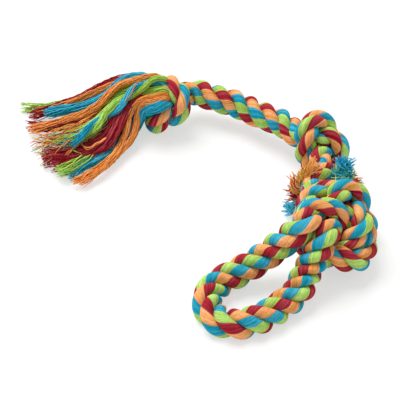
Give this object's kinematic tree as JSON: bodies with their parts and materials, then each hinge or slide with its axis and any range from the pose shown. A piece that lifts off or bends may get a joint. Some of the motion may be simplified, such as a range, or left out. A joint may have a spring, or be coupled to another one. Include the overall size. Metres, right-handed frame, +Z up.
{
  "type": "rope dog toy",
  "caption": "Knotted cotton rope toy for a dog: a frayed tassel, single knots along a twisted rope, and a doubled knot with a handle loop to tug.",
  "frame": {"origin": "middle of the toy's outline on the floor that it lies on", "axes": "+Z up from the floor; +X from the tassel to the doubled knot, +Y from the handle loop to the tassel's knot"},
  "size_m": [0.2622, 0.2608, 0.0526],
  "materials": {
    "laid_rope": "three-strand laid cotton rope of maroon, orange, blue and lime yarn, matt and slightly hairy",
    "maroon_yarn": "loose soft cotton yarn, matt",
    "orange_yarn": "loose soft cotton yarn, matt",
    "blue_yarn": "loose soft cotton yarn, matt",
    "lime_yarn": "loose soft cotton yarn, matt"
  },
  "bodies": {
    "handle_knot": {"handle_knot_standing": "laid_rope", "handle_knot_return": "laid_rope", "tail_rope": "laid_rope", "neck_rope": "laid_rope", "tail_maroon_1": "maroon_yarn", "tail_maroon_2": "maroon_yarn", "tail_maroon_3": "maroon_yarn", "tail_orange_1": "orange_yarn", "tail_orange_2": "orange_yarn", "tail_orange_3": "orange_yarn", "tail_blue_1": "blue_yarn", "tail_blue_2": "blue_yarn", "tail_blue_3": "blue_yarn", "tail_lime_1": "lime_yarn", "tail_lime_2": "lime_yarn", "tail_lime_3": "lime_yarn"},
    "handle": {"handle_loop": "laid_rope", "handle_leg_1": "laid_rope", "handle_leg_2": "laid_rope"},
    "middle_knot": {"middle_knot": "laid_rope", "body_rope_2": "laid_rope"},
    "tassel_knot": {"tassel_knot": "laid_rope", "body_rope_1": "laid_rope", "tassel_root": "laid_rope"},
    "tassel": {"tassel_maroon_1": "maroon_yarn", "tassel_maroon_2": "maroon_yarn", "tassel_maroon_3": "maroon_yarn", "tassel_orange_1": "orange_yarn", "tassel_orange_2": "orange_yarn", "tassel_orange_3": "orange_yarn", "tassel_blue_1": "blue_yarn", "tassel_blue_2": "blue_yarn", "tassel_blue_3": "blue_yarn", "tassel_lime_1": "lime_yarn", "tassel_lime_2": "lime_yarn", "tassel_lime_3": "lime_yarn"}
  },
  "joints": [
    {"name": "handle_lift", "type": "hinge", "parent": "handle_knot", "child": "handle", "pos_m": [0.0824, -0.063, 0.0369], "axis": [-0.9139, 0.406, 0], "range_deg": [0, 60], "deforming": ["handle_leg_1", "handle_leg_2"]},
    {"name": "neck_bend", "type": "hinge", "parent": "handle_knot", "child": "middle_knot", "pos_m": [0.0939, 0.012, 0.0271], "axis": [0, 0, 1], "range_deg": [-20, 20], "deforming": ["neck_rope"]},
    {"name": "rope_bend", "type": "hinge", "parent": "middle_knot", "child": "tassel_knot", "pos_m": [0.0409, 0.1038, 0.0188], "axis": [0, 0, 1], "range_deg": [-45, 35], "deforming": ["body_rope_1", "body_rope_2"]},
    {"name": "tassel_swing", "type": "hinge", "parent": "tassel_knot", "child": "tassel", "pos_m": [-0.0459, 0.1083, 0.0206], "axis": [0, 0, 1], "range_deg": [-20, 20], "deforming": ["tassel_root"]}
  ]
}
